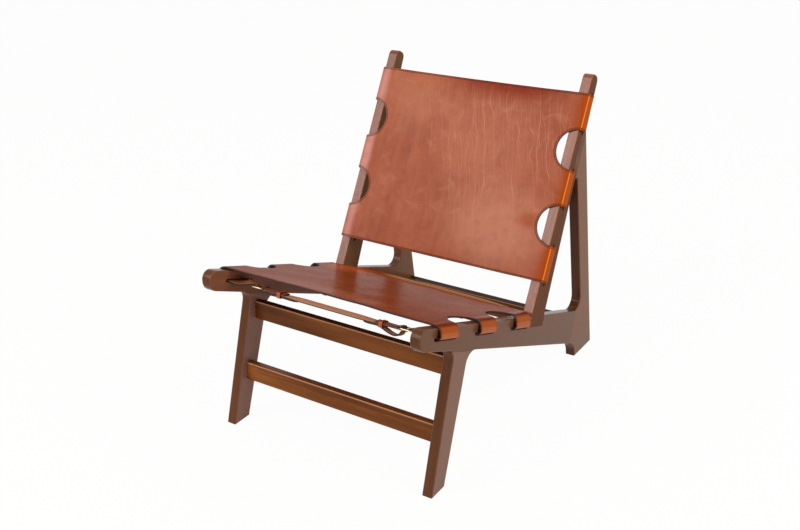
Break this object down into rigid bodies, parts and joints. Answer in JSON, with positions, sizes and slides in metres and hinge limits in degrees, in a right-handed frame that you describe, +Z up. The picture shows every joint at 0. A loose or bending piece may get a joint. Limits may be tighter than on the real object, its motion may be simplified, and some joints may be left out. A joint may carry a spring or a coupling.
{
  "type": "leather sling lounge chair",
  "caption": "Low lounge chair whose dark timber side frames and crossbars carry a leather seat and back, laced through slots by tabs and drawn tight by buckled straps.",
  "frame": {"origin": "centre of the bounding box on the floor", "axes": "+X across the chair, to the right of someone who looks along +Y at its front, +Y towards its back, +Z up"},
  "size_m": [0.5998, 0.828, 0.738],
  "materials": {
    "frame_timber": "dark brown stain under satin lacquer, eased edges",
    "bar_timber": "dark brown stain under satin lacquer, eased edges",
    "sling_leather": "thick tan saddle leather, semi-gloss, dark burnished edges and stitched hems",
    "strap_leather": "tan strap leather, semi-gloss",
    "keeper_leather": "darker tan leather loop, semi-gloss",
    "brass": "cast and tumbled brass, polished"
  },
  "bodies": {
    "chair": {"left_front_leg": "frame_timber", "left_seat_rail": "frame_timber", "left_back_upright": "frame_timber", "left_rear_leg": "frame_timber", "right_front_leg": "frame_timber", "right_seat_rail": "frame_timber", "right_back_upright": "frame_timber", "right_rear_leg": "frame_timber", "front_upper_bar": "bar_timber", "front_stretcher": "bar_timber", "rear_bar": "bar_timber", "seat_sling": "sling_leather", "back_sling": "sling_leather", "seat_front_strap": "strap_leather", "seat_front_buckle_left": "brass", "seat_front_keeper_left": "keeper_leather", "seat_front_buckle_right": "brass", "seat_front_keeper_right": "keeper_leather", "seat_middle_strap": "strap_leather", "seat_middle_buckle_left": "brass", "seat_middle_keeper_left": "keeper_leather", "seat_middle_buckle_right": "brass", "seat_middle_keeper_right": "keeper_leather", "seat_rear_strap": "strap_leather", "seat_rear_buckle_left": "brass", "seat_rear_keeper_left": "keeper_leather", "seat_rear_buckle_right": "brass", "seat_rear_keeper_right": "keeper_leather", "back_lower_strap": "strap_leather", "back_lower_buckle_left": "brass", "back_lower_keeper_left": "keeper_leather", "back_lower_buckle_right": "brass", "back_lower_keeper_right": "keeper_leather", "back_middle_strap": "strap_leather", "back_middle_buckle_left": "brass", "back_middle_keeper_left": "keeper_leather", "back_middle_buckle_right": "brass", "back_middle_keeper_right": "keeper_leather", "back_upper_strap": "strap_leather", "back_upper_buckle_left": "brass", "back_upper_keeper_left": "keeper_leather", "back_upper_buckle_right": "brass", "back_upper_keeper_right": "keeper_leather"},
    "seat_front_tongue_left": {"seat_front_tongue_left": "brass"},
    "seat_front_tongue_right": {"seat_front_tongue_right": "brass"},
    "seat_middle_tongue_left": {"seat_middle_tongue_left": "brass"},
    "seat_middle_tongue_right": {"seat_middle_tongue_right": "brass"},
    "seat_rear_tongue_left": {"seat_rear_tongue_left": "brass"},
    "seat_rear_tongue_right": {"seat_rear_tongue_right": "brass"},
    "back_lower_tongue_left": {"back_lower_tongue_left": "brass"},
    "back_lower_tongue_right": {"back_lower_tongue_right": "brass"},
    "back_middle_tongue_left": {"back_middle_tongue_left": "brass"},
    "back_middle_tongue_right": {"back_middle_tongue_right": "brass"},
    "back_upper_tongue_left": {"back_upper_tongue_left": "brass"},
    "back_upper_tongue_right": {"back_upper_tongue_right": "brass"}
  },
  "joints": [
    {"name": "seat_front_tongue_left_turn", "type": "hinge", "parent": "chair", "child": "seat_front_tongue_left", "pos_m": [-0.188, -0.32273, 0.35373], "axis": [0, -0.9317, 0.3632], "range_deg": [0, 20]},
    {"name": "seat_front_tongue_right_turn", "type": "hinge", "parent": "chair", "child": "seat_front_tongue_right", "pos_m": [0.188, -0.32273, 0.35373], "axis": [0, 0.9317, -0.3632], "range_deg": [0, 20]},
    {"name": "seat_middle_tongue_left_turn", "type": "hinge", "parent": "chair", "child": "seat_middle_tongue_left", "pos_m": [-0.188, -0.16151, 0.29087], "axis": [0, -0.9317, 0.3632], "range_deg": [0, 20]},
    {"name": "seat_middle_tongue_right_turn", "type": "hinge", "parent": "chair", "child": "seat_middle_tongue_right", "pos_m": [0.188, -0.16151, 0.29087], "axis": [0, 0.9317, -0.3632], "range_deg": [0, 20]},
    {"name": "seat_rear_tongue_left_turn", "type": "hinge", "parent": "chair", "child": "seat_rear_tongue_left", "pos_m": [-0.188, -0.00029, 0.22802], "axis": [0, -0.9317, 0.3632], "range_deg": [0, 20]},
    {"name": "seat_rear_tongue_right_turn", "type": "hinge", "parent": "chair", "child": "seat_rear_tongue_right", "pos_m": [0.188, -0.00029, 0.22802], "axis": [0, 0.9317, -0.3632], "range_deg": [0, 20]},
    {"name": "back_lower_tongue_left_turn", "type": "hinge", "parent": "chair", "child": "back_lower_tongue_left", "pos_m": [-0.188, 0.14999, 0.32787], "axis": [0, -0.5, -0.866], "range_deg": [0, 20]},
    {"name": "back_lower_tongue_right_turn", "type": "hinge", "parent": "chair", "child": "back_lower_tongue_right", "pos_m": [0.188, 0.14999, 0.32787], "axis": [0, 0.5, 0.866], "range_deg": [0, 20]},
    {"name": "back_middle_tongue_left_turn", "type": "hinge", "parent": "chair", "child": "back_middle_tongue_left", "pos_m": [-0.188, 0.24253, 0.48815], "axis": [0, -0.5, -0.866], "range_deg": [0, 20]},
    {"name": "back_middle_tongue_right_turn", "type": "hinge", "parent": "chair", "child": "back_middle_tongue_right", "pos_m": [0.188, 0.24253, 0.48815], "axis": [0, 0.5, 0.866], "range_deg": [0, 20]},
    {"name": "back_upper_tongue_left_turn", "type": "hinge", "parent": "chair", "child": "back_upper_tongue_left", "pos_m": [-0.188, 0.33506, 0.64842], "axis": [0, -0.5, -0.866], "range_deg": [0, 20]},
    {"name": "back_upper_tongue_right_turn", "type": "hinge", "parent": "chair", "child": "back_upper_tongue_right", "pos_m": [0.188, 0.33506, 0.64842], "axis": [0, 0.5, 0.866], "range_deg": [0, 20]}
  ]
}
